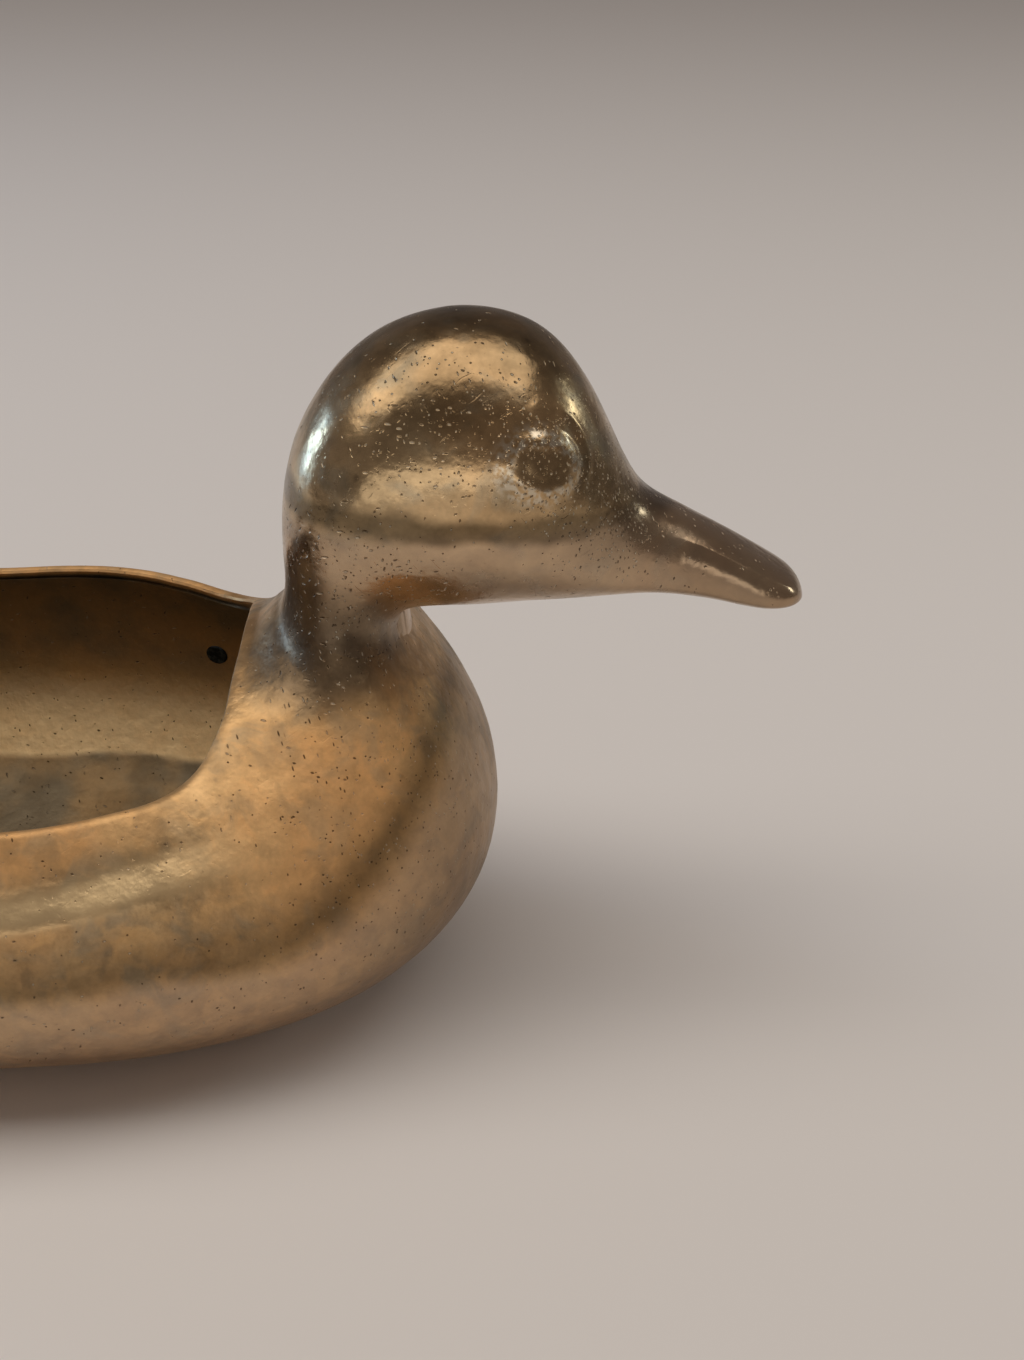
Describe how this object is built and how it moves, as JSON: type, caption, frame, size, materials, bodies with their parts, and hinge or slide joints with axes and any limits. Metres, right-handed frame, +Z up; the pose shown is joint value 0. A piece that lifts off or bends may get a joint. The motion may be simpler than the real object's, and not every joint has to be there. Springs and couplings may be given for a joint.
{
  "type": "cast brass duck planter",
  "caption": "Hollow cast brass duck with an open back that serves as a bowl or planter, and a brazed-on head with a solid bill.",
  "frame": {"origin": "middle of the bounding box, on the surface that the duck stands on", "axes": "+X from the tail to the bill, +Y to the duck's left, +Z up"},
  "size_m": [0.2926, 0.13, 0.1363],
  "materials": {
    "cast_brass": "worn satin, pitted, with brown patina",
    "polished_brass": "worn polish, pitted",
    "braze": "filed flush and polished",
    "pin_steel": "dull, dark oxide"
  },
  "bodies": {
    "root": {"body_casting": "cast_brass", "head_casting": "polished_brass", "neck_braze": "braze", "core_pin_left": "pin_steel", "core_pin_right": "pin_steel"}
  },
  "joints": []
}
